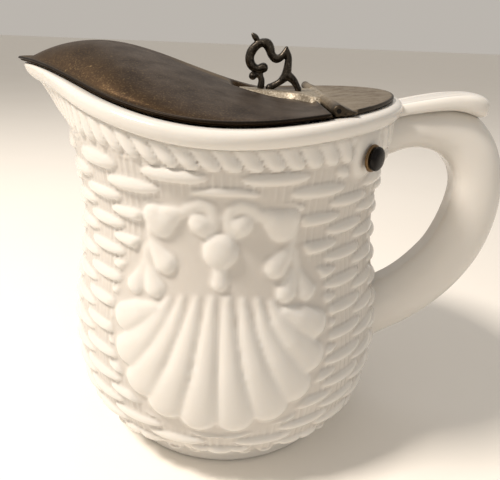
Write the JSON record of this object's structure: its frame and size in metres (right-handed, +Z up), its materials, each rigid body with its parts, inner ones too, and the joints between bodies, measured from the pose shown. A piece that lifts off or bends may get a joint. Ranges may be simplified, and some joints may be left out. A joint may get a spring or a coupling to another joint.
{
  "type": "lidded syrup jug",
  "caption": "Pressed white glass syrup jug with a side handle and a pouring spout, closed by a domed pewter lid hinged at the back with a thumb lift.",
  "frame": {"origin": "centre of the flat foot, on the surface that the jug stands on", "axes": "+Z up, +X from the body's axis to the handle, -X to the spout, +Y across the jug"},
  "size_m": [0.1497, 0.0996, 0.1242],
  "materials": {
    "opal_glass": "fire-polished, opaque white",
    "dark_pewter": "dark tarnished pewter",
    "grey_pewter": "grey-brown tarnished pewter",
    "worn_pewter": "worn, bright pewter",
    "cast_pewter": "dark cast pewter",
    "black_iron": "blackened iron",
    "dull_brass": "dull, brown"
  },
  "bodies": {
    "jug": {"glass_jug": "opal_glass", "rear_plate": "grey_pewter", "hinge_pin": "black_iron", "lug_near": "grey_pewter", "lug_far": "grey_pewter", "rivet_near": "black_iron", "rivet_far": "black_iron", "washer_near": "dull_brass", "washer_far": "dull_brass", "burr_near": "dull_brass", "burr_far": "dull_brass"},
    "lid": {"lid_dome": "dark_pewter", "hinge_strap": "worn_pewter", "thumb_lift": "cast_pewter"}
  },
  "joints": [
    {"name": "lid_hinge", "type": "hinge", "parent": "jug", "child": "lid", "pos_m": [0.0258, 0, 0.10707], "axis": [0, 1, 0], "range_deg": [0, 85]}
  ]
}
